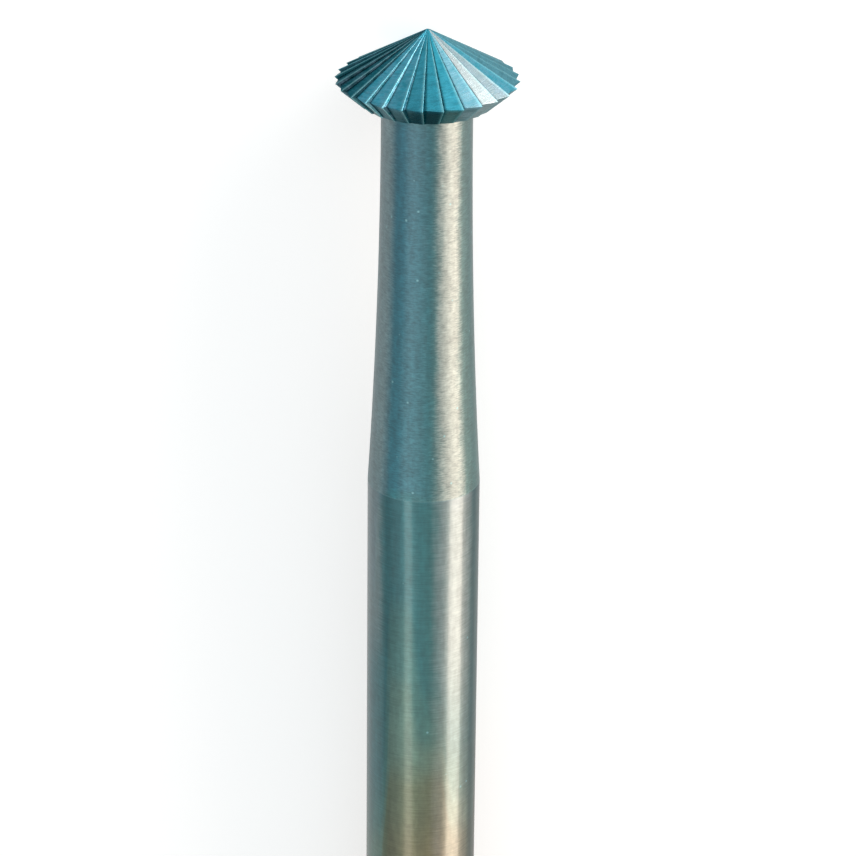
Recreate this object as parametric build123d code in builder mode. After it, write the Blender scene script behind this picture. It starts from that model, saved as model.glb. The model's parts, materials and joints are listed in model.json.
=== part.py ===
"""Double-cone burr: a toothed cutting head on a ground neck and a straight handpiece shank.

The whole tool is ground from one blank, so it is one solid. It lies on a level surface as it comes to
rest: two neighbouring cutting edges of the head and the rim of the shank's end touch Z = 0. +X runs
along the tool towards its point, and the origin is below the middle of the tool.

Stations are distances along the tool's axis from the free end of the shank.
"""
import os
from math import atan2, cos, degrees, radians, sin, tan

from build123d import *

# Driving dimensions, in mm and degrees
overall_length = 44.5
shank_diameter = 2.35
shank_end_chamfer = 0.2
neck_diameter = 1.86  # where the neck meets the head; from there it flares to the shank
neck_length = 8.45  # back face of the head to the shoulder on the shank
neck_corner_radius = 0.15  # in the corner between the neck and the back face
head_diameter = 3.75  # over the cutting edges
front_slope = 30.0  # of the front cone from the plane of its rim
back_slope = 41.5  # of the back cone from the same plane
back_face_diameter = 2.72  # over the cutting edges, where the back cone ends
point_radius = 0.1  # the front cone is blunted to this ball
tooth_count = 28
flute_depth = 0.105  # at the rim; on the front cone it runs out towards the point
flute_depth_at_back = 0.04
rake_angle = 19.0  # the faces of the teeth lean back by this from the radius

# Worked-out sizes
shank_radius = shank_diameter / 2
neck_radius = neck_diameter / 2
rim_radius = head_diameter / 2
back_face_radius = back_face_diameter / 2
tooth_pitch = 360 / tooth_count
front_height = rim_radius * tan(radians(front_slope))
back_height = (rim_radius - back_face_radius) * tan(radians(back_slope))
blunting = point_radius * (1 / cos(radians(front_slope)) - 1)

# Stations along the axis
rim_station = overall_length + blunting - front_height
back_face_station = rim_station - back_height
shoulder_station = back_face_station - neck_length
ball_centre_station = overall_length - point_radius
ball_edge_radius = point_radius * sin(radians(front_slope))
ball_edge_station = ball_centre_station + point_radius * cos(radians(front_slope))
ball_edge_depth = flute_depth * ball_edge_radius / rim_radius

# Rest: the lowest cutting edges stand half a pitch either side of straight down
head_rest_radius = rim_radius * cos(radians(tooth_pitch / 2))
lean = atan2(head_rest_radius - shank_radius, rim_station - shank_end_chamfer)
lowest_x_offset = (shank_radius - shank_end_chamfer) * sin(lean)
end_x = (lowest_x_offset - overall_length * cos(lean)) / 2
end_z = shank_radius * cos(lean) - shank_end_chamfer * sin(lean)

# The end plane looks along the axis to the point; its X is up. The profile plane holds the axis as its Y.
end_plane = Plane(
    origin=(end_x, 0, end_z),
    x_dir=(-sin(lean), 0, cos(lean)),
    z_dir=(cos(lean), 0, sin(lean)),
)
profile_plane = Plane(origin=end_plane.origin, x_dir=end_plane.x_dir, z_dir=(0, 1, 0))
burr_axis = Axis(end_plane.origin, end_plane.z_dir)


def on_circle(radius, angle):
    """Point of a sketch at a radius and an angle in degrees."""
    return (radius * cos(radians(angle)), radius * sin(radians(angle)))


def tooth_corners(edge_radius, depth):
    """Corners of the head's saw-tooth outline at one station.

    Each tooth has its cutting edge at edge_radius. Its face drops from there to the root of the flute,
    leaning forward in the way of the cut, which is anticlockwise seen from the point. From each root
    the straight back of the next tooth climbs to that tooth's edge.
    """
    root_radius = edge_radius - depth
    root_lead = degrees(atan2(depth * tan(radians(rake_angle)), root_radius))
    corners = []
    for tooth in range(tooth_count):
        edge_angle = 180 + (tooth + 0.5) * tooth_pitch
        corners.append(on_circle(edge_radius, edge_angle))
        corners.append(on_circle(root_radius, edge_angle + root_lead))
    return corners


with BuildPart() as burr:
    # Shank, neck and back corner, turned about the axis
    with BuildSketch(profile_plane):
        with BuildLine():
            Polyline(
                (0, back_face_station),
                (0, 0),
                (shank_radius - shank_end_chamfer, 0),
                (shank_radius, shank_end_chamfer),
                (shank_radius, shoulder_station),
            )
            neck_top = (neck_radius, back_face_station - neck_corner_radius)
            corner_end = (neck_radius + neck_corner_radius, back_face_station)
            TangentArc(neck_top, (shank_radius, shoulder_station), tangent=(0, -1))
            RadiusArc(neck_top, corner_end, neck_corner_radius)
            Line(corner_end, (0, back_face_station))
        make_face()
    revolve(axis=burr_axis)

    # Back cone of teeth, widening from the back face to the rim
    with BuildSketch(end_plane.offset(back_face_station)):
        Polygon(*tooth_corners(back_face_radius, flute_depth_at_back), align=None)
    with BuildSketch(end_plane.offset(rim_station)):
        Polygon(*tooth_corners(rim_radius, flute_depth), align=None)
    loft(ruled=True)

    # Front cone of teeth, narrowing from the rim to the ball of the point
    with BuildSketch(end_plane.offset(rim_station)):
        Polygon(*tooth_corners(rim_radius, flute_depth), align=None)
    with BuildSketch(end_plane.offset(ball_edge_station)):
        Polygon(*tooth_corners(ball_edge_radius, ball_edge_depth), align=None)
    loft(ruled=True)

    # Ball of the point, standing on the roots of the flutes
    cap_radius = ball_edge_radius - ball_edge_depth
    with BuildSketch(profile_plane):
        with BuildLine():
            cap_edge = (cap_radius, ball_edge_station)
            cap_top = (0, overall_length)
            cap_foot = (0, ball_edge_station)
            RadiusArc(cap_edge, cap_top, -point_radius)
            Polyline(cap_top, cap_foot, cap_edge)
        make_face()
    revolve(axis=burr_axis)

burr.part.label = "burr"

os.makedirs("parts", exist_ok=True)
export_step(burr.part, "parts/burr.step")
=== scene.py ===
"""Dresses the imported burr: a fine mesh of the whole ground tool and its heat-tinted steel, on a pale floor.

The tool lies with its point towards +X. Sizes of the tool are in millimetres, in the tool's own axes: a
station is a distance along its axis from the free end of the shank, and an angle turns anticlockwise
seen from the point, from straight up. The mesh is put into the room in metres.
"""
import json
import logging
import math
from dataclasses import dataclass
from enum import Enum
from typing import Any, Dict, List, Sequence, Tuple, Union

import bpy
import numpy as np
from mathutils import Matrix, Vector


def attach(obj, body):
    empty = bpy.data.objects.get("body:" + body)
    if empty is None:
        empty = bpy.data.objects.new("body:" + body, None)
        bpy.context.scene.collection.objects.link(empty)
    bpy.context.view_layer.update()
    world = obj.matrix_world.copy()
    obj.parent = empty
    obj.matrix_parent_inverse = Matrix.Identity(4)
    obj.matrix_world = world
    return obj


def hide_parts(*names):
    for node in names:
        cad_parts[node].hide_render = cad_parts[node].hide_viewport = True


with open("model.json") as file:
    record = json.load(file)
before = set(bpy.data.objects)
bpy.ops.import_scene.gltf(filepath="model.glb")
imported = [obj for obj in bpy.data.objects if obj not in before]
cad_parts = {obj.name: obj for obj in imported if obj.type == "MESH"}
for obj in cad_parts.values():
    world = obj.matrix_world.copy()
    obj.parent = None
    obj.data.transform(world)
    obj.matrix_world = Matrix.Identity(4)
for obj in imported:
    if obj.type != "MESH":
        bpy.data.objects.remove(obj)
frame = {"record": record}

log = logging.getLogger("burr")

METRES = 0.001  # one millimetre
BODY = "root"
NODE = "burr"

Array = np.ndarray
Colour = Tuple[float, float, float]
Socket = bpy.types.NodeSocket
Reach = Tuple[float, float]  # two values between which something comes in
Feed = Union[Socket, float, Tuple[float, ...]]
Inputs = Union[Sequence[Feed], Dict[Union[str, int], Feed]]

WHITE: Colour = (1.0, 1.0, 1.0)
MIDDLE = 0.5  # of the values of a noise
MID_RANGE: Reach = (0.25, 0.75)  # where most values of a noise lie
MIX_INPUTS, MIX_RESULT = (0, 6, 7), 2  # sockets of a mix node that mixes colours


class Region(Enum):
    """The stretches of the tool that were ground apart; the value is the mesh's material slot."""

    HEAD = 0
    NECK = 1
    SHANK = 2


class Lay(Enum):
    """The way the grinding marks run."""

    AROUND = "around the tool"
    ACROSS = "across each tooth"


# ---------- frame


@dataclass(frozen=True)
class ToolAxes:
    """The tool's own axes in the room: where its shank ends, and which ways are along, up and side."""

    end: Array
    along: Array
    up: Array
    side: Array

    @classmethod
    def from_mount(cls, mount: Dict[str, Any], end_chamfer: float) -> "ToolAxes":
        """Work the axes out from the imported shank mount.

        Args:
            mount: the record's pin mount on the straight shank, whose place is halfway along it.
            end_chamfer: length of the chamfer at the shank's free end, in mm.

        Returns:
            The tool's axes, in metres.
        """
        along = -np.array(mount["axis"], float)
        side = np.array([0.0, -1.0, 0.0])
        to_middle = (end_chamfer + mount["dims"]["length_mm"] / 2) * METRES
        return cls(np.array(mount["pos_m"], float) - along * to_middle, along, np.cross(side, along), side)

    def place(self, points: Array) -> Array:
        """Move points from the tool's (up, side, station) in mm to the room in metres."""
        axes = np.stack([self.up, self.side, self.along])
        return self.end + points @ axes * METRES

    @property
    def lean(self) -> float:
        """Angle of the tool's axis above the floor, in radians."""
        return math.asin(self.along[2])


def turn_axes(first: Array, second: Array, angle: float) -> Tuple[Array, Array]:
    """Turn two axes that stand square by an angle, from the first towards the second."""
    cos, sin = math.cos(angle), math.sin(angle)
    return cos * first + sin * second, cos * second - sin * first


def add_object(name: str, data: bpy.types.ID) -> bpy.types.Object:
    """Add an object to the scene.

    Args:
        name: its name.
        data: its mesh, camera or lamp.

    Returns:
        The object, at the origin.
    """
    made = bpy.data.objects.new(name, data)
    bpy.context.scene.collection.objects.link(made)
    return made


# ---------- curves


def corner_blend(before: Array, corner: Array, after: Array, steps: Array) -> Array:
    """Round a corner by the quadratic curve (1-t)^2 before + 2t(1-t) corner + t^2 after, at each step t.

    Args:
        before: where the curve starts.
        corner: the sharp corner.
        after: where the curve ends.
        steps: the values of t, from 0 to 1.

    Returns:
        The points of the curve, with one axis more for the steps.
    """
    t = steps[:, None]
    b, c, a = (p[..., None, :] for p in (before, corner, after))
    return (1 - t) ** 2 * b + 2 * t * (1 - t) * c + t**2 * a


def line_steps(start: Array, end: Array, steps: Array) -> Array:
    """Points at shares of the way from start to end, both of shape (..., 2)."""
    t = steps[:, None]
    return start[..., None, :] * (1 - t) + end[..., None, :] * t


def towards(start: Array, end: Array, distance: Array) -> Array:
    """The point at a distance from start on the line to end."""
    way = end - start
    return start + way * (distance[..., None] / np.linalg.norm(way, axis=-1, keepdims=True))


def smooth(x: Array) -> Array:
    """Smooth step 3x^2 - 2x^3 of x held between 0 and 1."""
    x = np.clip(x, 0.0, 1.0)
    return x * x * (3 - 2 * x)


def inner_shares(count: int) -> Array:
    """Even shares between 0 and 1, without the two ends."""
    return np.arange(1, count + 1) / (count + 1)


# ---------- the tool


@dataclass(frozen=True)
class ToothForm:
    """The saw-tooth outline of the head, the same number of points on every tooth.

    Each tooth has its cutting edge, a narrow face that drops from it to the root of the flute ahead, and a
    broad back that climbs from the root behind. Edge and root are rounded by a few thousandths of a
    millimetre, so that they catch the light.
    """

    count: int = 28
    rake_degrees: float = 19.0
    back_points: int = 6
    face_points: int = 2
    round_points: int = 4
    wear_and_highlight_beside: float = 0.1  # share of edge wear and painted edge highlight on the points beside the rounded edge

    @property
    def pitch(self) -> float:
        """Angle from one tooth to the next, in radians."""
        return 2 * math.pi / self.count

    @property
    def points_per_tooth(self) -> int:
        """Points of one tooth: its back, its edge, its face and its root."""
        return self.back_points + self.face_points + 2 * self.round_points

    def outline(self, edge_radius: Array, depth: Array, rounding: Array) -> Array:
        """Work out the outlines of several stations at once.

        The edge of tooth k is at radius R and angle pi + (k + 1/2) pitch. The root ahead of it is at radius
        R - depth, turned forward by atan(depth tan(rake) / (R - depth)). Straight lines join them, and a
        quadratic curve rounds each corner over the given distance.

        Args:
            edge_radius: radius of the cutting edges at each station.
            depth: depth of the flutes at each station.
            rounding: distance over which a corner is rounded at each station.

        Returns:
            Array (stations, points around, 2) of up and side coordinates, in mm.
        """
        edge_angle = math.pi + (np.arange(self.count) + 0.5) * self.pitch
        root_radius = edge_radius - depth
        lead = np.arctan2(depth * math.tan(math.radians(self.rake_degrees)), root_radius)
        edge = self._polar(edge_radius, edge_angle[None, :])
        root = self._polar(root_radius, edge_angle[None, :] + lead[:, None])
        root_behind = np.roll(root, 1, axis=1)
        edge_ahead = np.roll(edge, -1, axis=1)
        size = rounding[:, None]

        back_start = towards(root_behind, edge, size)
        back_end = towards(edge, root_behind, size)
        face_start = towards(edge, root, size)
        face_end = towards(root, edge, size)
        next_back = towards(root, edge_ahead, size)
        turn = np.linspace(0, 1, self.round_points)
        parts = (
            line_steps(back_start, back_end, inner_shares(self.back_points)),
            corner_blend(back_end, edge, face_start, turn),
            line_steps(face_start, face_end, inner_shares(self.face_points)),
            corner_blend(face_end, root, next_back, turn),
        )
        return np.concatenate(parts, axis=2).reshape(len(edge_radius), -1, 2)

    @staticmethod
    def _polar(radius: Array, angle: Array) -> Array:
        """Up and side coordinates of points at each station's radius and each tooth's angle."""
        return np.stack([radius[:, None] * np.cos(angle), radius[:, None] * np.sin(angle)], axis=-1)

    def wear_highlight_and_shade(self) -> Array:
        """Work out the edge wear with its painted edge highlight, which is 1 on the cutting edge, and the
        painted shade in the flute.

        The painted shade is 1 on the narrow face and in the root.

        Returns:
            Array (2, points around) of the two shares.
        """
        shares = np.zeros((2, self.points_per_tooth))
        first, last = self.back_points, self.back_points + self.round_points
        shares[0, first - 1 : last + 1] = self.wear_and_highlight_beside
        shares[0, first:last] = 1.0
        shares[1, last:] = 1.0
        return np.tile(shares, self.count)

    def owners(self) -> Array:
        """Number the tooth that each face around belongs to; a back starts with the face out of the root."""
        faces = np.arange(self.count * self.points_per_tooth)
        return (faces + 1) // self.points_per_tooth % self.count

    def middles(self) -> Array:
        """Angle of the middle of the tooth's back, for each face around."""
        return math.pi + self.owners() * self.pitch

    def lots(self, seed: int) -> Array:
        """Draw a number from 0 to 1 for each tooth, and give it to each face around."""
        return np.random.default_rng(seed).random(self.count)[self.owners()]


@dataclass(frozen=True)
class Rings:
    """Rings of points round the tool, from its point towards its end."""

    points: Array  # (rings, points around, 3): up, side, station
    region: Region
    worn: Array  # (2, rings, points around): edge wear with painted edge highlight, and painted shade in the flutes

    @classmethod
    def turned(cls, profile: Array, angles: Array, region: Region, last_keen: float) -> "Rings":
        """Turn a profile about the axis: point j of ring i is at radius r_i and angle j, at station s_i.

        Args:
            profile: the station and radius of each ring.
            angles: angle of each point of a ring.
            region: the stretch of the tool.
            last_keen: share of edge wear and painted edge highlight on the last ring.

        Returns:
            The rings.
        """
        radius = profile[:, 1:]
        station = np.repeat(profile[:, :1], len(angles), axis=1)
        points = np.stack([radius * np.cos(angles), radius * np.sin(angles), station], axis=-1)
        worn = np.zeros((2, *station.shape))
        worn[0, -1] = last_keen
        return cls(points, region, worn)


@dataclass(frozen=True)
class CuttingHead:
    """The toothed head: a front cone to a blunted point and a short back cone to a flat back face."""

    teeth: ToothForm
    diameter: float = 3.75
    front_slope_degrees: float = 30.0
    back_slope_degrees: float = 41.5
    back_face_diameter: float = 2.72
    flute_depth: float = 0.105
    flute_depth_at_back: float = 0.04
    point_radius: float = 0.1
    edge_rounding: float = 0.008
    rounding_share: float = 0.3  # most of the flute's depth that an edge's rounding takes
    least_depth: float = 1e-4
    cone_rings: int = 14
    crowding: float = 1.3  # power by which the cone's rings crowd towards the point
    back_rings: int = 5
    ball_rings: int = 7
    plain_radius: float = 0.4  # radius below which wear and shade fade out

    @property
    def radius(self) -> float:
        """Radius of the cutting edges at the rim."""
        return self.diameter / 2

    @property
    def front_height(self) -> float:
        """Height of the front cone if it ran out to a sharp point."""
        return self.radius * math.tan(math.radians(self.front_slope_degrees))

    @property
    def back_height(self) -> float:
        """Distance from the rim to the back face."""
        drop = self.radius - self.back_face_diameter / 2
        return drop * math.tan(math.radians(self.back_slope_degrees))

    @property
    def blunting(self) -> float:
        """How much shorter the ball makes the point."""
        return self.point_radius * (1 / math.cos(math.radians(self.front_slope_degrees)) - 1)

    def rim_station(self, overall_length: float) -> float:
        """Station of the rim, from the tool's overall length."""
        return overall_length + self.blunting - self.front_height

    def back_station(self, overall_length: float) -> float:
        """Station of the flat back face."""
        return self.rim_station(overall_length) - self.back_height

    def angles(self) -> Array:
        """Angle of each point round the rim, in radians, which all plain rings of the tool repeat."""
        rim = self.teeth.outline(*np.array([[self.radius], [self.flute_depth], [self.edge_rounding]]))[0]
        return np.arctan2(rim[:, 1], rim[:, 0])

    def rings(self, overall_length: float) -> Rings:
        """Work out the head's rings from the point to the back face.

        On the cones the edge radius and the flute depth run in straight lines along the axis. The rim is
        rounded as the teeth's edges are. The ball at the point is a sphere, and its rings change from a
        circle to the saw-tooth outline where it meets the cone.

        Args:
            overall_length: length of the whole tool.

        Returns:
            The head's rings.
        """
        slope = math.radians(self.front_slope_degrees)
        rim = self.rim_station(overall_length)
        back = self.back_station(overall_length)
        ball_centre = overall_length - self.point_radius
        ball_edge = self.point_radius * math.sin(slope)
        ball_station = ball_centre + self.point_radius * math.cos(slope)
        per_radius = self.flute_depth / self.radius

        polar = slope * inner_shares(self.ball_rings)
        ball_radius = self.point_radius * np.sin(polar)
        ball_at = ball_centre + self.point_radius * np.cos(polar)

        share = np.linspace(0, 1, self.cone_rings) ** self.crowding
        cone_radius = ball_edge + (self.radius - ball_edge) * share
        cone_at = ball_station + (rim - ball_station) * share
        corner = np.array([self.radius, rim, self.flute_depth])
        edge_line = np.array([ball_edge, ball_station, ball_edge * per_radius])
        back_line = np.array([self.back_face_diameter / 2, back, self.flute_depth_at_back])
        size = np.array(self.edge_rounding)
        turn = np.linspace(0, 1, self.teeth.round_points + 1)
        rim_start, rim_end = towards(corner, edge_line, size), towards(corner, back_line, size)
        rim_turn = corner_blend(rim_start, corner, rim_end, turn)
        back_share = np.linspace(0, 1, self.back_rings + 1)[1:]
        back_part = line_steps(rim_turn[-1], back_line, back_share)

        cone = np.stack([cone_radius, cone_at, cone_radius * per_radius], axis=1)[:-1]
        radius, station, depth = np.concatenate([cone, rim_turn, back_part]).T
        rounding = np.minimum(self.edge_rounding, self.rounding_share * depth)
        toothed = self._at(self.teeth.outline(radius, depth, rounding), station)

        ball_depth = ball_radius * per_radius * smooth(ball_radius / ball_edge)
        ball_depth = np.maximum(ball_depth, self.least_depth)
        ball_outline = self.teeth.outline(ball_radius, ball_depth, self.rounding_share * ball_depth)
        points = np.concatenate([self._at(ball_outline, ball_at), toothed])
        fade = smooth(np.hypot(points[:, :1, 0], points[:, :1, 1]) / self.plain_radius)
        return Rings(points, Region.HEAD, self.teeth.wear_highlight_and_shade()[:, None] * fade)

    @staticmethod
    def _at(outline: Array, station: Array) -> Array:
        """Put flat outlines at their stations."""
        height = np.broadcast_to(station[:, None, None], outline.shape[:2] + (1,))
        return np.concatenate([outline, height], axis=-1)


@dataclass(frozen=True)
class GroundNeck:
    """The neck, which flares in one long arc from the head to the shank."""

    diameter: float = 1.86
    length: float = 8.45
    corner_radius: float = 0.15
    flare_rings: int = 40
    flare_end: float = 0.995  # share of the flare at which its even rings end
    corner_rings: int = 8
    guard: float = 0.015  # distance of the last ring from the shoulder
    # edge wear and painted edge highlight on the neck's last ring, at the shoulder
    shoulder_wear_and_highlight: float = 0.25

    def rings(self, angles: Array, back_station: float, shank_radius: float) -> Rings:
        """Work the neck out.

        From the back face a quarter circle leads into the neck. Then the radius grows by an arc that
        starts along the axis: r = r0 + R - sqrt(R^2 - x^2), with R set so that it meets the shank.

        Args:
            angles: angle of each point of a ring.
            back_station: station of the head's back face.
            shank_radius: radius of the shank, where the arc ends.

        Returns:
            The neck's rings.
        """
        r0 = self.diameter / 2
        turn = np.linspace(0, math.pi / 2, self.corner_rings + 1)[:-1]
        corner_station = back_station - self.corner_radius * (1 - np.cos(turn))
        corner = np.stack([corner_station, r0 + self.corner_radius * (1 - np.sin(turn))], axis=1)
        run = self.length - self.corner_radius
        rise = shank_radius - r0
        arc = (run**2 + rise**2) / (2 * rise)
        x = run * np.append(np.linspace(0, self.flare_end, self.flare_rings), 1 - self.guard / run)
        flare = np.stack([back_station - self.corner_radius - x, r0 + arc - np.sqrt(arc**2 - x**2)], axis=1)
        return Rings.turned(np.concatenate([corner, flare]), angles, Region.NECK, self.shoulder_wear_and_highlight)


@dataclass(frozen=True)
class Shank:
    """The straight round shank, chamfered at its free end."""

    radius: float
    end_chamfer: float = 0.2
    rings_along: int = 24
    corner_rings: int = 5
    corner_size: float = 0.05
    guard: float = 0.015  # distance of the straight rings from the shoulder and from the chamfer
    face_rings: Tuple[float, ...] = (0.06, 0.3, 0.6, 0.9)  # shares of the way to the middle of the end face

    def rings(self, angles: Array, shoulder_station: float) -> Rings:
        """Work the shank out: a straight line from the shoulder, a rounded chamfer and the end face.

        Args:
            angles: angle of each point of a ring.
            shoulder_station: station where the neck ends and the shank starts.

        Returns:
            The shank's rings.
        """
        size, guard = np.array(self.corner_size), np.array(self.guard)
        start = np.array([shoulder_station, self.radius])
        outer = np.array([self.end_chamfer, self.radius])
        inner = np.array([0.0, self.radius - self.end_chamfer])
        centre = np.zeros(2)
        turn = np.linspace(0, 1, self.corner_rings)
        straight_end = towards(outer, start, size)
        first, last = towards(start, outer, guard), towards(straight_end, start, guard)
        straight = line_steps(first, last, np.linspace(0, 1, self.rings_along))
        outer_turn = corner_blend(straight_end, outer, towards(outer, inner, size), turn)
        inner_turn = corner_blend(towards(inner, outer, size), inner, towards(inner, centre, size), turn)
        face = line_steps(inner_turn[-1], centre, np.array(self.face_rings))
        profile = np.concatenate([straight, outer_turn, inner_turn, face])
        return Rings.turned(profile, angles, Region.SHANK, 0.0)


@dataclass(frozen=True)
class Burr:
    """The whole tool, ground from one blank, as one closed surface."""

    axes: ToolAxes
    shank: Shank
    head: CuttingHead
    neck: GroundNeck = GroundNeck()
    overall_length: float = 44.5
    tone_seed: int = 1066337
    bloom_seed: int = 217771

    def stretches(self) -> List[Rings]:
        """Work out the rings of head, neck and shank, each ending where the next begins.

        Returns:
            The three stretches, from the point to the free end.
        """
        angles = self.head.angles()
        back = self.head.back_station(self.overall_length)
        neck = self.neck.rings(angles, back, self.shank.radius)
        shank = self.shank.rings(angles, back - self.neck.length)
        return [self.head.rings(self.overall_length), neck, shank]

    def build(self) -> bpy.types.Object:
        """Build the mesh: a grid of rings, closed by a point at each end of the axis.

        Returns:
            The finished object, at the origin, with its shape in metres.
        """
        stretches = self.stretches()
        grid = np.concatenate([stretch.points for stretch in stretches])
        rings, around = grid.shape[:2]
        region = np.repeat([s.region.value for s in stretches], [len(s.points) for s in stretches])

        ends = np.array([[0.0, 0.0, self.overall_length], [0.0, 0.0, 0.0]])
        points = self.axes.place(np.concatenate([grid.reshape(-1, 3), ends]))
        tip, foot = rings * around, rings * around + 1
        here = np.arange(around)
        ahead = np.roll(here, -1)
        ring = (np.arange(rings - 1) * around)[:, None]
        quads = np.stack([ring + around + here, ring + around + ahead, ring + ahead, ring + here], axis=-1)
        last = (rings - 1) * around
        cap_tip = np.stack([np.full(around, tip), here, ahead], axis=-1)
        cap_foot = np.stack([np.full(around, foot), last + ahead, last + here], axis=-1)
        faces = quads.reshape(-1, 4).tolist() + cap_tip.tolist() + cap_foot.tolist()

        mesh = bpy.data.meshes.new("tinted_burr")
        mesh.from_pydata(points.tolist(), [], faces)
        slots = np.repeat([*region[1:], Region.HEAD.value, Region.SHANK.value], around)
        mesh.polygons.foreach_set("material_index", slots.astype(np.int32))
        mesh.polygons.foreach_set("use_smooth", slots != Region.HEAD.value)
        teeth = self.head.teeth
        worn = np.concatenate([stretch.worn for stretch in stretches], axis=1).reshape(2, -1)
        keen, flute_shade = np.pad(worn, ((0, 0), (0, len(ends))))
        values = {
            "keen": keen,
            "flute_shade": flute_shade,
            "tooth_tone": teeth.lots(self.tone_seed),
            "tooth_bloom": teeth.lots(self.bloom_seed),
            "tooth_up": np.cos(teeth.middles()),
            "tooth_left": -np.sin(teeth.middles()),
        }
        for name, numbers in values.items():
            by_face = len(numbers) == around
            layer = mesh.attributes.new(name, "FLOAT", "FACE" if by_face else "POINT")
            stored = np.tile(numbers, rings + 1) if by_face else numbers
            layer.data.foreach_set("value", stored.astype(np.float32))
        mesh.validate()
        mesh.update()
        return add_object(mesh.name, mesh)


# ---------- finishes


@dataclass(frozen=True)
class Pattern:
    """A noise in the steel."""

    scale: float  # how fine it is, per mm
    detail: float  # number of finer noises laid over it
    roughness: float = 0.5  # how strong those are


class Sketch:
    """The node tree of a material or a world, with short calls for the nodes that the finishes use."""

    def __init__(self, owner: bpy.types.ID, output: str = "ShaderNodeOutputMaterial") -> None:
        """Empty the tree and give it its output node.

        Args:
            owner: the material or world.
            output: type of its output node.
        """
        owner.use_nodes = True
        self.tree = owner.node_tree
        self.tree.nodes.clear()
        self.output = self.node(output)

    def node(self, kind: str, inputs: Inputs = (), **settings: str) -> bpy.types.Node:
        """Add a node.

        Args:
            kind: the node's type.
            inputs: what its inputs are fed or set to, in their order or by name or number.
            settings: the node's properties and their values.

        Returns:
            The new node.
        """
        made = self.tree.nodes.new(kind)
        for name, value in settings.items():
            setattr(made, name, value)
        for key, value in inputs.items() if isinstance(inputs, dict) else enumerate(inputs):
            self.feed(made.inputs[key], value)
        return made

    def feed(self, socket: Socket, value: Feed) -> None:
        """Link a socket to another, or set its value.

        Args:
            socket: the input.
            value: the output that feeds it, or what it is set to.
        """
        if isinstance(value, Socket):
            self.tree.links.new(value, socket)
        else:
            socket.default_value = value

    def finish(self, shader: bpy.types.Node) -> None:
        """Feed a shader to the output node."""
        self.feed(self.output.inputs["Surface"], shader.outputs[0])

    def math(self, operation: str, *values: Feed) -> Socket:
        """Work out an operation on some values."""
        return self.node("ShaderNodeMath", values, operation=operation).outputs[0]

    def plus(self, first: Feed, second: Feed) -> Socket:
        """Add two numbers."""
        return self.math("ADD", first, second)

    def minus(self, first: Feed, second: Feed) -> Socket:
        """Take the second number from the first."""
        return self.math("SUBTRACT", first, second)

    def times(self, first: Feed, second: Feed) -> Socket:
        """Multiply two numbers."""
        return self.math("MULTIPLY", first, second)

    def span(self, value: Feed, limits: Reach, results: Reach = (0.0, 1.0)) -> Socket:
        """Map a value smoothly from its limits to the results at them, and hold it there."""
        values = (value, *limits, *results)
        return self.node("ShaderNodeMapRange", values, interpolation_type="SMOOTHSTEP").outputs[0]

    def noise(self, vector: Feed, pattern: Pattern) -> Socket:
        """Read a noise at a vector: a number from 0 to 1 with its middle at 0.5."""
        form = {"Scale": pattern.scale, "Detail": pattern.detail, "Roughness": pattern.roughness}
        return self.node("ShaderNodeTexNoise", {"Vector": vector, **form}).outputs["Fac"]

    def mix(self, share: Feed, first: Feed, second: Feed, blend: str = "MIX") -> Socket:
        """Mix two colours.

        Args:
            share: share of the second, from 0 to 1.
            first: the first colour.
            second: the second colour.
            blend: how the second is laid over the first.

        Returns:
            The mixed colour.
        """
        opaque = [(*colour, 1.0) if isinstance(colour, tuple) else colour for colour in (first, second)]
        inputs = dict(zip(MIX_INPUTS, (share, *opaque)))
        return self.node("ShaderNodeMix", inputs, data_type="RGBA", blend_type=blend).outputs[MIX_RESULT]

    def combine(self, *parts: Feed) -> Socket:
        """Make a vector from three numbers."""
        return self.node("ShaderNodeCombineXYZ", parts).outputs[0]

    def ramp(self, share: Feed, stops: Sequence[Tuple[float, Colour]]) -> Socket:
        """Add a colour ramp.

        Args:
            share: place on the ramp, from 0 to 1.
            stops: places on the ramp and their colours.

        Returns:
            The colour at that place.
        """
        made = self.node("ShaderNodeValToRGB", (share,))
        made.color_ramp.interpolation = "EASE"
        elements = made.color_ramp.elements
        while len(elements) < len(stops):
            elements.new(0.5)
        for element, (place, colour) in zip(elements, stops):
            element.position = place
            element.color = (*colour, 1.0)
        return made.outputs["Color"]

    def number(self, name: str) -> Socket:
        """Read a number that the mesh stores."""
        return self.node("ShaderNodeAttribute", attribute_name=name).outputs["Fac"]

    def seen(self, by_camera: float, by_mirrors: float) -> Socket:
        """Work out a number that depends on what sent the ray.

        Args:
            by_camera: the result for the camera's own rays.
            by_mirrors: the result for rays that metal or glass reflects or lets through.

        Returns:
            The result, which is 0 for the rays that light a matt surface.
        """
        path = self.node("ShaderNodeLightPath").outputs
        mirrored = self.math("MAXIMUM", path["Is Glossy Ray"], path["Is Transmission Ray"])
        return self.plus(self.times(path["Is Camera Ray"], by_camera), self.times(mirrored, by_mirrors))


@dataclass(frozen=True)
class Zone:
    """A band along the tool, centred on a roll about it, where 0 is the top and 90 the -Y side."""

    roll_degrees: float
    reach: Reach  # cosines of the angle from that roll
    amount: float = 1.0  # in the middle of the band: a share, or for a lag a length in mm
    grows: Reach = (6.0, 16.0)  # stations between which untinted steel and painted highlight grow


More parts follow.
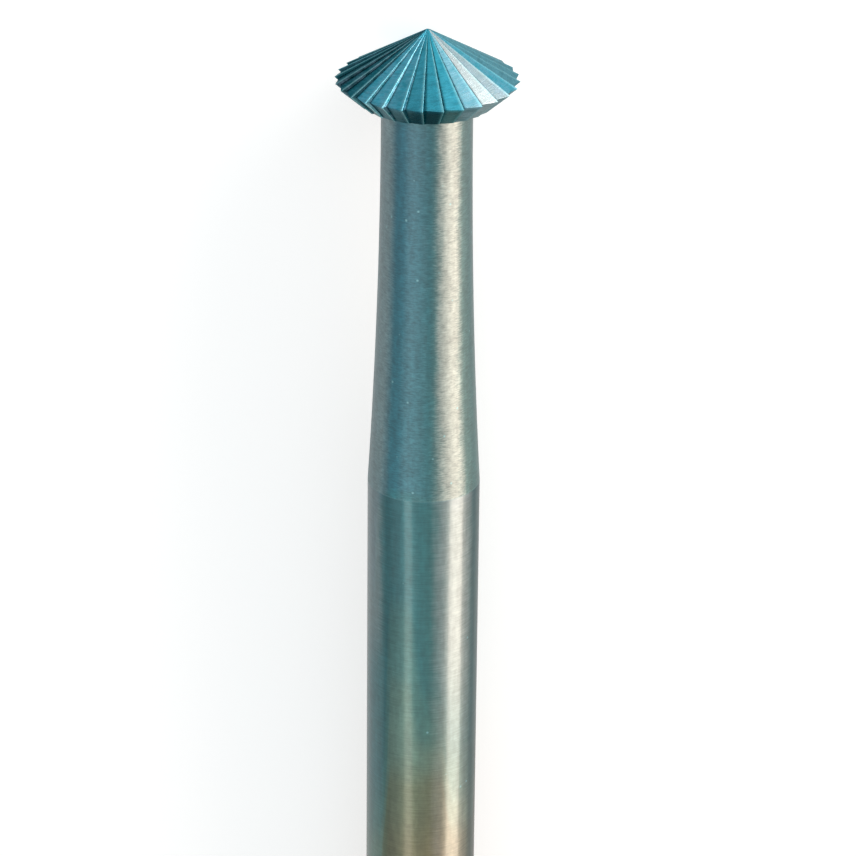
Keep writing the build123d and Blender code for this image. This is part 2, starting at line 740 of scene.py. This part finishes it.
@dataclass(frozen=True)
class HeatTint:
    """The colours that heat left on the steel, by distance from the rim towards the shank's end, in mm, with
    painted shade and highlights.
    """

    stops: Tuple[Tuple[float, Colour], ...] = (
        (-1.2, (0.022, 0.320, 0.430)),
        (-0.03, (0.022, 0.290, 0.390)),
        # Just behind the rim the colour is much darker: painted shade on the back cone under the rim.
        (0.03, (0.016, 0.095, 0.105)),
        (0.45, (0.016, 0.095, 0.105)),
        (0.8, (0.030, 0.135, 0.168)),
        (8.85, (0.030, 0.145, 0.172)),
        (8.95, (0.031, 0.150, 0.160)),
        (13.0, (0.035, 0.151, 0.156)),
        (14.3, (0.070, 0.176, 0.156)),
        (15.1, (0.130, 0.202, 0.152)),
        (15.8, (0.150, 0.162, 0.094)),
        (17.6, (0.180, 0.150, 0.076)),
        (21.0, (0.290, 0.225, 0.120)),
        (26.0, (0.400, 0.360, 0.280)),
        (32.0, (0.440, 0.430, 0.400)),
    )
    waver: float = 0.4
    waver_pattern: Pattern = Pattern(0.8, 3.0)
    tongue: Zone = Zone(-32.0, (0.84, 0.99))
    tongue_length: float = 2.3
    tongue_fade: Reach = (11.0, 16.0)  # distances at which the tongue leads most, and at which it ends
    lags: Tuple[Zone, ...] = (Zone(-90.0, (0.60, 0.80), 2.6), Zone(50.0, (0.84, 0.96), 1.4))
    shift_grows: Reach = (8.0, 12.0)  # distances between which waver, tongue and lags grow
    blue_side: Zone = Zone(-60.0, (0.2, 0.9))
    blue: Colour = (0.88, 1.10, 1.18)
    green: Colour = (1.10, 1.02, 0.92)
    sides_grow: Reach = (6.0, 16.0)  # stations between which the sides grow apart in hue
    # Untinted steel, laid in the zones below: partly thin tint, partly painted highlight and painted
    # reflection where the lamps' highlights fall on the tool.
    untinted_steel_and_highlight: Colour = (0.48, 0.455, 0.445)
    bare_and_highlight_zones: Tuple[Zone, ...] = (
        Zone(33.0, (0.86, 1.0), 0.28),
        Zone(33.0, (0.86, 1.0), 0.22, grows=(28.0, 31.5)),
        Zone(-74.0, (0.90, 0.97), 0.04),
        Zone(-74.0, (0.90, 0.97), 0.22, grows=(30.0, 31.8)),
        Zone(-25.0, (0.95, 1.0), 0.04),
    )
    zone_waver: float = 0.05
    zone_patches: Pattern = Pattern(2.5, 4.0)
    zone_streaks: Pattern = Pattern(1.0, 2.0)
    zone_fineness: Tuple[float, float] = (0.5, 5.0)  # of the streaks along and around the tool, per mm
    zone_raggedness: float = 0.05
    bloom: Colour = (0.20, 0.27, 0.36)  # lies in blotches on some teeth
    bloom_share: float = 0.0
    bloom_range: Reach = (0.3, 0.7)  # of the blotches that it follows
    painted_shade: Colour = (0.006, 0.060, 0.075)  # painted shade: a dark colour on one side and in the flutes
    # Where the painted shade lies along one side of the tool.
    painted_shade_side: Zone = Zone(-75.0, (0.76, 0.92), 0.0)


@dataclass(frozen=True)
class TintedSteel:
    """Fine-ground steel under its heat tint: a tinted metal below a clear oxide film that reflects white."""

    name: str
    lay: Lay
    roughness: float
    film_roughness: float
    groove_pitch: float
    groove_depth: float
    groove_spread: float = 3.5
    groove_pattern: Pattern = Pattern(1.0, 3.0, 0.65)
    tooth_offset: float = 60.0  # sets a tooth's marks apart from those of the others
    grain: float = 0.12
    mottle: float = 0.10
    mottle_pattern: Pattern = Pattern(7.0, 4.0, 0.6)
    streaks: float = 0.10
    streak_pattern: Pattern = Pattern(1.0, 2.0, 0.6)
    streak_fineness: Tuple[float, float] = (0.9, 6.0)  # along and around the tool, per mm
    tooth_change: float = 0.0
    gloss_change: float = 0.3  # change of roughness in the marks, as a share of their grain
    # A pale colour on the edges for edge wear and painted edge highlight; the nicks take it too.
    pale_wear_and_highlight_colour: Colour = (0.30, 0.62, 0.66)
    edge_wear_and_highlight_share: float = 0.4
    keen_roughness: float = 0.2
    # Share of painted shade on the flutes' narrow faces and roots.
    flute_shade_share: float = 0.0
    speck_share: float = 0.0
    speck_spacing: float = 0.45
    speck_size: float = 0.036
    speck_core: float = 0.3  # share of a nick's size that is at its full strength
    tint: HeatTint = HeatTint()
    metallic: float = 1.0
    film_weight: float = 1.0
    film_index: float = 1.6
    edge_colour: Colour = WHITE


class SteelLook:
    """The material of a finish: where a point is in the tool's axes, in mm, and the layers of its look."""

    def __init__(self, finish: TintedSteel, axes: ToolAxes, rim_station: float) -> None:
        """Start the material and turn the object's coordinates into the tool's.

        Args:
            finish: the finish.
            axes: the tool's axes, to turn the pattern with the tool.
            rim_station: station of the rim, from which the tint is placed.
        """
        self.finish, self.tint = finish, finish.tint
        self.material = bpy.data.materials.new(finish.name)
        s = self.sketch = Sketch(self.material)
        inputs = {
            "Vector": s.node("ShaderNodeTexCoord").outputs["Object"],
            "Location": tuple(axes.end),
            "Rotation": (0.0, -axes.lean, 0.0),
            "Scale": (METRES,) * 3,
        }
        self.vector = s.node("ShaderNodeMapping", inputs, vector_type="TEXTURE").outputs[0]
        self.station, *self.sides = s.node("ShaderNodeSeparateXYZ", (self.vector,)).outputs
        self.from_rim = s.minus(rim_station, self.station)
        self.radius = s.math("SQRT", s.plus(*(s.math("POWER", side, 2.0) for side in self.sides)))
        if finish.lay is Lay.ACROSS:
            self.outward = [s.number(name) for name in ("tooth_left", "tooth_up")]
        else:
            self.outward = [s.math("DIVIDE", side, self.radius) for side in self.sides]
        self.tone = s.number("tooth_tone")
        self.marks = self._marks()
        self.apart = s.span(self.station, self.tint.sides_grow)

    def build(self) -> bpy.types.Material:
        """Lay tint with painted highlights, painted shade, grain, edge wear with painted highlight and nicks
        over each other, and feed the shader.

        Returns:
            The finished material.
        """
        s, finish, tint = self.sketch, self.finish, self.tint
        keen, flute_shade = s.number("keen"), s.number("flute_shade")
        # Painted shade: the dark colour on one side of the tool, and on the flutes' narrow faces and roots.
        painted_shade = s.times(self._within(tint.painted_shade_side), self.apart)
        colour = s.mix(painted_shade, self._tinted(), tint.painted_shade)
        colour = s.mix(s.times(flute_shade, finish.flute_shade_share), colour, tint.painted_shade)
        colour = self._grained(colour)
        # Pale colour on the edges, for wear and painted highlight, and on the nicks.
        for place, share in ((keen, finish.edge_wear_and_highlight_share), (self._specks(), finish.speck_share)):
            colour = s.mix(s.times(place, share), colour, finish.pale_wear_and_highlight_colour)

        gloss = finish.gloss_change * finish.grain
        smoother = s.span(self.marks, MID_RANGE, (gloss, -gloss))
        worn = s.times(keen, finish.keen_roughness)
        # Less of the clear film where shade is painted.
        film_outside_shade = s.minus(1.0, s.math("MAXIMUM", painted_shade, flute_shade))
        relief = {"Distance": finish.groove_depth * METRES, "Height": self.marks}
        normal = s.node("ShaderNodeBump", relief).outputs[0]
        inputs = {
            "Base Color": colour,
            "Metallic": finish.metallic,
            "Roughness": s.plus(s.plus(smoother, worn), finish.roughness),
            "Normal": normal,
            "Specular Tint": (*finish.edge_colour, 1.0),
            "Coat Weight": s.times(film_outside_shade, finish.film_weight),
            "Coat Roughness": finish.film_roughness,
            "Coat IOR": finish.film_index,
            "Coat Normal": normal,
        }
        s.finish(s.node("ShaderNodeBsdfPrincipled", inputs))
        return self.material

    def _within(self, zone: Zone, waver: Feed = 0.0) -> Socket:
        """Work out how strong a zone is, by the cosine of the angle from its roll.

        Args:
            zone: the zone.
            waver: what is added to the cosine.

        Returns:
            A number from 0 to the zone's amount.
        """
        s, roll, (left, up) = self.sketch, math.radians(zone.roll_degrees), self.outward
        cosine = s.minus(s.times(up, math.cos(roll)), s.times(left, math.sin(roll)))
        return s.span(s.plus(cosine, waver), zone.reach, (0.0, zone.amount))

    def _drawn_out(self, along: Feed, around: float, pattern: Pattern) -> Socket:
        """Make a noise, read at a value along the tool and drawn out by its fineness around it, per mm."""
        s = self.sketch
        return s.noise(s.combine(along, *(s.times(side, around) for side in self.sides)), pattern)

    def _tinted(self) -> Socket:
        """Work out the heat tint: its colour along the tool, bluer on one side, and paler where untinted
        steel and painted highlight lie.

        Returns:
            The colour.
        """
        s, tint = self.sketch, self.tint
        side = s.mix(self.apart, WHITE, s.mix(self._within(tint.blue_side), tint.green, tint.blue))
        colour = s.mix(1.0, self._tint_along(), side, "MULTIPLY")
        return s.mix(self._bared_and_highlit(), colour, tint.untinted_steel_and_highlight)

    def _tint_along(self) -> Socket:
        """Work out the tint by distance. Its brown front runs ahead in a tongue and lags beside it.

        Returns:
            The colour.
        """
        s, tint = self.sketch, self.tint
        waver = s.times(s.minus(s.noise(self.vector, tint.waver_pattern), MIDDLE), 2 * tint.waver)
        lead = s.span(self.from_rim, tint.tongue_fade, (tint.tongue_length, 0.0))
        shift = s.plus(s.times(self._within(tint.tongue), lead), waver)
        for lag in tint.lags:
            shift = s.minus(shift, self._within(lag))
        shift = s.times(shift, s.span(self.from_rim, tint.shift_grows))
        first, last = tint.stops[0][0], tint.stops[-1][0]
        share = s.math("DIVIDE", s.minus(s.plus(self.from_rim, shift), first), last - first)
        return s.ramp(share, [((at - first) / (last - first), colour) for at, colour in tint.stops])

    def _bared_and_highlit(self) -> Socket:
        """Work out the share of untinted steel and painted highlight, as the sum of the zones, whose edges
        the marks make ragged.

        Returns:
            The share.
        """
        s, tint = self.sketch, self.tint
        patches = s.minus(s.noise(self.vector, tint.zone_patches), MIDDLE)
        streaks = s.minus(self._streaks(tint.zone_streaks, *tint.zone_fineness), MIDDLE)
        ragged = s.times(s.minus(self.marks, MIDDLE), tint.zone_raggedness)
        waver = s.plus(s.times(s.plus(patches, streaks), tint.zone_waver), ragged)
        total = 0.0
        for zone in tint.bare_and_highlight_zones:
            grown = s.span(self.station, zone.grows)
            total = s.plus(s.times(self._within(zone, waver), grown), total)
        return total

    def _grained(self, colour: Socket) -> Socket:
        """Lay the fine differences over a colour: blotches, streaks, grinding marks and the teeth's tones.

        Args:
            colour: the colour to start from.

        Returns:
            The colour with its grain.
        """
        s, finish, tint = self.sketch, self.finish, self.tint
        blotches = s.noise(self.vector, finish.mottle_pattern)
        streaks = self._streaks(finish.streak_pattern, *finish.streak_fineness)
        colour = self._varied(colour, blotches, finish.mottle)
        colour = self._varied(colour, streaks, finish.streaks)
        colour = self._varied(colour, self.tone, finish.tooth_change, (0.0, 1.0))
        patchy = s.span(blotches, tint.bloom_range, (0.0, tint.bloom_share))
        colour = s.mix(s.times(s.number("tooth_bloom"), patchy), colour, tint.bloom)
        return self._varied(colour, self.marks, finish.grain)

    def _varied(self, colour: Socket, by: Socket, change: float, limits: Reach = MID_RANGE) -> Socket:
        """Make a colour darker or lighter by up to a share of it, as a number runs between its limits."""
        level = self.sketch.span(by, limits, (1 - change, 1 + change))
        return self.sketch.mix(1.0, colour, self.sketch.combine(level, level, level), "MULTIPLY")

    def _streaks(self, pattern: Pattern, along: float, around: float) -> Socket:
        """Make a noise that is drawn out by its fineness along and around the tool."""
        return self._drawn_out(self.sketch.times(self.station, along), around, pattern)

    def _marks(self) -> Socket:
        """Make the grinding marks: noise drawn out along the lay.

        Returns:
            A number from 0 to 1.
        """
        s, finish = self.sketch, self.finish
        fine = 1.0 / finish.groove_pitch
        if finish.lay is Lay.AROUND:
            across = s.times(self.station, fine)
        else:
            across = s.plus(s.times(self.radius, fine), s.times(self.tone, finish.tooth_offset))
        return self._drawn_out(across, finish.groove_spread, finish.groove_pattern)

    def _specks(self) -> Socket:
        """Make tiny bright nicks: the middles of the cells of a Voronoi pattern that lie on the surface.

        Returns:
            A number that is 1 in a nick and 0 elsewhere.
        """
        s, finish = self.sketch, self.finish
        cells = s.node("ShaderNodeTexVoronoi", {"Vector": self.vector, "Scale": 1.0 / finish.speck_spacing})
        edge = finish.speck_size / finish.speck_spacing
        return s.span(cells.outputs["Distance"], (edge, finish.speck_core * edge))


HEAD_TINT = HeatTint(
    # Untinted steel with painted highlight on the facets that face the key and catch lamps.
    untinted_steel_and_highlight=(0.455, 0.485, 0.475),
    bare_and_highlight_zones=(Zone(41.0, (0.945, 1.0), 0.85), Zone(95.0, (0.80, 1.0), 0.22)),
    zone_waver=0.01,
    zone_raggedness=0.03,
    blue=(0.9, 1.0, 1.04),
    green=(1.0, 1.0, 1.0),
    # Painted shade on the facets of the +Y side.
    painted_shade_side=Zone(-84.0, (0.85, 0.97), 0.9),
    bloom_share=0.45,
)
NECK_TINT = HeatTint(
    # Untinted steel with painted highlight under the broad and narrow highlights, and painted reflection
    # along the +Y edge.
    bare_and_highlight_zones=(
        Zone(26.5, (0.93, 1.0), 0.54),
        Zone(33.0, (0.84, 0.97), 0.17),
        Zone(-74.0, (0.84, 0.97), 0.33),
        Zone(-16.0, (0.955, 1.0), 0.06),
    ),
    zone_waver=0.035,
    zone_raggedness=0.06,
    untinted_steel_and_highlight=(0.46, 0.468, 0.42),
    blue=(1.04, 1.31, 1.43),
    green=(1.14, 1.04, 0.86),
)
# Painted shade along the shank's -Y side, beyond its highlight.
SHANK_TINT = HeatTint(painted_shade_side=Zone(72.0, (0.92, 0.99), 0.6))

FINISHES: Dict[Region, TintedSteel] = {
    Region.HEAD: TintedSteel(
        "fluted_steel",
        Lay.ACROSS,
        roughness=0.28,
        film_roughness=0.16,
        groove_pitch=0.028,
        groove_depth=0.0005,
        grain=0.22,
        mottle=0.14,
        streaks=0.0,
        tooth_change=0.25,
        flute_shade_share=0.92,
        tint=HEAD_TINT,
        film_weight=0.3,
        edge_colour=(0.35, 0.6, 0.65),
    ),
    Region.NECK: TintedSteel(
        "ground_neck_steel",
        Lay.AROUND,
        roughness=0.46,
        film_roughness=0.34,
        groove_pitch=0.024,
        groove_depth=0.004,
        groove_spread=8.0,
        grain=0.2,
        mottle=0.14,
        tint=NECK_TINT,
        speck_share=0.6,
        speck_spacing=0.4,
    ),
    Region.SHANK: TintedSteel(
        "ground_shank_steel",
        Lay.AROUND,
        roughness=0.32,
        film_roughness=0.14,
        groove_pitch=0.022,
        groove_depth=0.0004,
        groove_spread=2.0,
        tint=SHANK_TINT,
        speck_share=0.5,
        speck_spacing=0.6,
    ),
}


# ---------- studio


@dataclass(frozen=True)
class PictureView:
    """The camera: a long lens that looks down on the lying tool, with its point towards the render's top.

    The rim's centre stands at a given pixel of the render.
    """

    render_size: float = 856.0
    focal_pixels: float = 4245.6
    rim_pixel: Tuple[float, float] = (427.4, 79.1)
    rim_depth: float = 85.17
    lift_degrees: float = 25.27  # the line of sight leans by this from square to the tool, towards its point
    roll_degrees: float = 0.56
    turn_degrees: float = -3.82  # about the tool's axis, so that the teeth stand as they should
    sensor: float = 36.0
    clip: Tuple[float, float] = (0.005, 20.0)  # nearest and furthest that it sees, in metres

    def add(self, axes: ToolAxes, rim_station: float) -> None:
        """Add the camera.

        Args:
            axes: the tool's axes.
            rim_station: station of the rim on the tool's axis, in mm.
        """
        near, across = turn_axes(axes.up, axes.side, math.radians(self.turn_degrees))
        back, straight_up = turn_axes(near, axes.along, math.radians(self.lift_degrees))
        right, up = turn_axes(across, straight_up, math.radians(self.roll_degrees))
        half = self.render_size / 2
        rim_x = (self.rim_pixel[0] - half) / self.focal_pixels * self.rim_depth
        rim_y = (half - self.rim_pixel[1]) / self.focal_pixels * self.rim_depth
        rim = axes.end + axes.along * rim_station * METRES
        eye = rim + (back * self.rim_depth - right * rim_x - up * rim_y) * METRES
        lens = bpy.data.cameras.new("view")
        lens.sensor_width = self.sensor
        lens.lens = self.focal_pixels / self.render_size * self.sensor
        lens.clip_start, lens.clip_end = self.clip
        camera = add_object("view", lens)
        camera.matrix_world = Matrix([*zip(right, up, back, eye), (0.0, 0.0, 0.0, 1.0)])
        bpy.context.scene.camera = camera


@dataclass(frozen=True)
class SoftLamp:
    """A rectangular soft lamp, placed by where it stands and what it faces, in metres."""

    name: str
    at: Tuple[float, float, float]
    aim: Tuple[float, float, float]
    size: Tuple[float, float]
    level: float
    colour: Colour = WHITE

    def add(self) -> None:
        """Add the lamp: its first side lies level, and its surface has the radiance given as its level."""
        lamp = bpy.data.lights.new(self.name, "AREA")
        lamp.shape = "RECTANGLE"
        lamp.size, lamp.size_y = self.size
        lamp.energy = self.level * math.pi * self.size[0] * self.size[1]
        lamp.color = self.colour
        holder = add_object(self.name, lamp)
        back = (Vector(self.at) - Vector(self.aim)).normalized()
        level_side = Vector((0.0, 0.0, 1.0)).cross(back).normalized()
        turn = Matrix((level_side, back.cross(level_side), back)).transposed().to_4x4()
        holder.matrix_world = Matrix.Translation(self.at) @ turn
        holder.visible_camera = False


SHANK_MIDDLE = (0.0, 0.0, 0.003)


@dataclass(frozen=True)
class Studio:
    """The pale floor, the lamps and the room's own light."""

    floor_size: float = 3.0
    floor_albedo: float = 0.56
    floor_seen_glow: float = 0.565
    floor_mirrored_glow: float = 0.13
    room_low: float = 0.335
    room_high: float = 0.758
    room_rise: float = 0.9  # sine of the height at which the room is at its brightest
    room_colour: Colour = (0.92, 1.0, 1.022)
    room_mirrored: float = 0.1
    lamps: Tuple[SoftLamp, ...] = (
        SoftLamp("key", (-0.03, -0.148, 0.056), SHANK_MIDDLE, (0.50, 0.088), 2.9, (1.0, 0.82, 0.71)),
        SoftLamp("strip", (-0.075, 0.097, 0.142), SHANK_MIDDLE, (0.40, 0.040), 1.26, (1.0, 0.82, 0.73)),
        SoftLamp(
            "catch", (0.0335, -0.012, 0.0045), (0.021, 0.0, 0.0022), (0.011, 0.0085), 8.2, (1.0, 0.97, 0.94)
        ),
        SoftLamp("bounce", (0.065, -0.006, 0.014), (0.021, 0.0, 0.002), (0.045, 0.028), 1.5),
    )

    def add(self) -> None:
        """Add floor, room light and lamps."""
        self._floor()
        self._room()
        for lamp in self.lamps:
            lamp.add()

    def _floor(self) -> None:
        """Add a white floor that camera and mirror rays see a little brighter, so that it stays pale."""
        half = self.floor_size / 2
        mesh = bpy.data.meshes.new("floor")
        corners = [(-half, -half, 0.0), (half, -half, 0.0), (half, half, 0.0), (-half, half, 0.0)]
        mesh.from_pydata(corners, [], [(0, 1, 2, 3)])
        floor = add_object("floor", mesh)
        material = bpy.data.materials.new("floor")
        mesh.materials.append(material)
        s = Sketch(material)
        matt = s.node("ShaderNodeBsdfDiffuse", {"Color": (self.floor_albedo,) * 3 + (1.0,)})
        seen = s.seen(self.floor_seen_glow, self.floor_mirrored_glow)
        glow = s.node("ShaderNodeEmission", {"Strength": seen})
        s.finish(s.node("ShaderNodeAddShader", (matt.outputs[0], glow.outputs[0])))

    def _room(self) -> None:
        """Add a room that is dimmer near the horizon than overhead, and white to the camera."""
        world = bpy.data.worlds.new("room")
        s = Sketch(world, "ShaderNodeOutputWorld")
        ways = s.node("ShaderNodeTexCoord").outputs["Generated"]
        height = s.node("ShaderNodeSeparateXYZ", (ways,)).outputs["Z"]
        rise = s.node("ShaderNodeMapRange", (height, 0.0, self.room_rise, self.room_low, self.room_high))
        light, white = (
            s.node("ShaderNodeBackground", {"Color": (*colour, 1.0), "Strength": strength}).outputs[0]
            for colour, strength in ((self.room_colour, rise.outputs[0]), (WHITE, 1.0))
        )
        s.finish(s.node("ShaderNodeMixShader", (s.seen(1.0, self.room_mirrored), light, white)))
        bpy.context.scene.world = world


# ---------- main


def main() -> None:
    """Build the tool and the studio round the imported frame."""
    logging.basicConfig(level=logging.INFO, format="%(name)s: %(message)s")
    bpy.context.scene.view_settings.view_transform = "Standard"
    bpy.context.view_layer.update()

    mount = next(m for m in frame["record"]["mounts"] if m["name"] == "shank")
    shank = Shank(mount["dims"]["r_mm"])
    axes = ToolAxes.from_mount(mount, shank.end_chamfer)
    head = CuttingHead(ToothForm())
    burr = Burr(axes, shank, head)
    rim_station = head.rim_station(burr.overall_length)

    piece = burr.build()
    for region in Region:
        piece.data.materials.append(SteelLook(FINISHES[region], axes, rim_station).build())
    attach(piece, BODY)
    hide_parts(NODE)
    log.info("%s: %d vertices, %d faces", piece.name, len(piece.data.vertices), len(piece.data.polygons))

    Studio().add()
    PictureView().add(axes, rim_station)


if __name__ == "__main__":
    main()
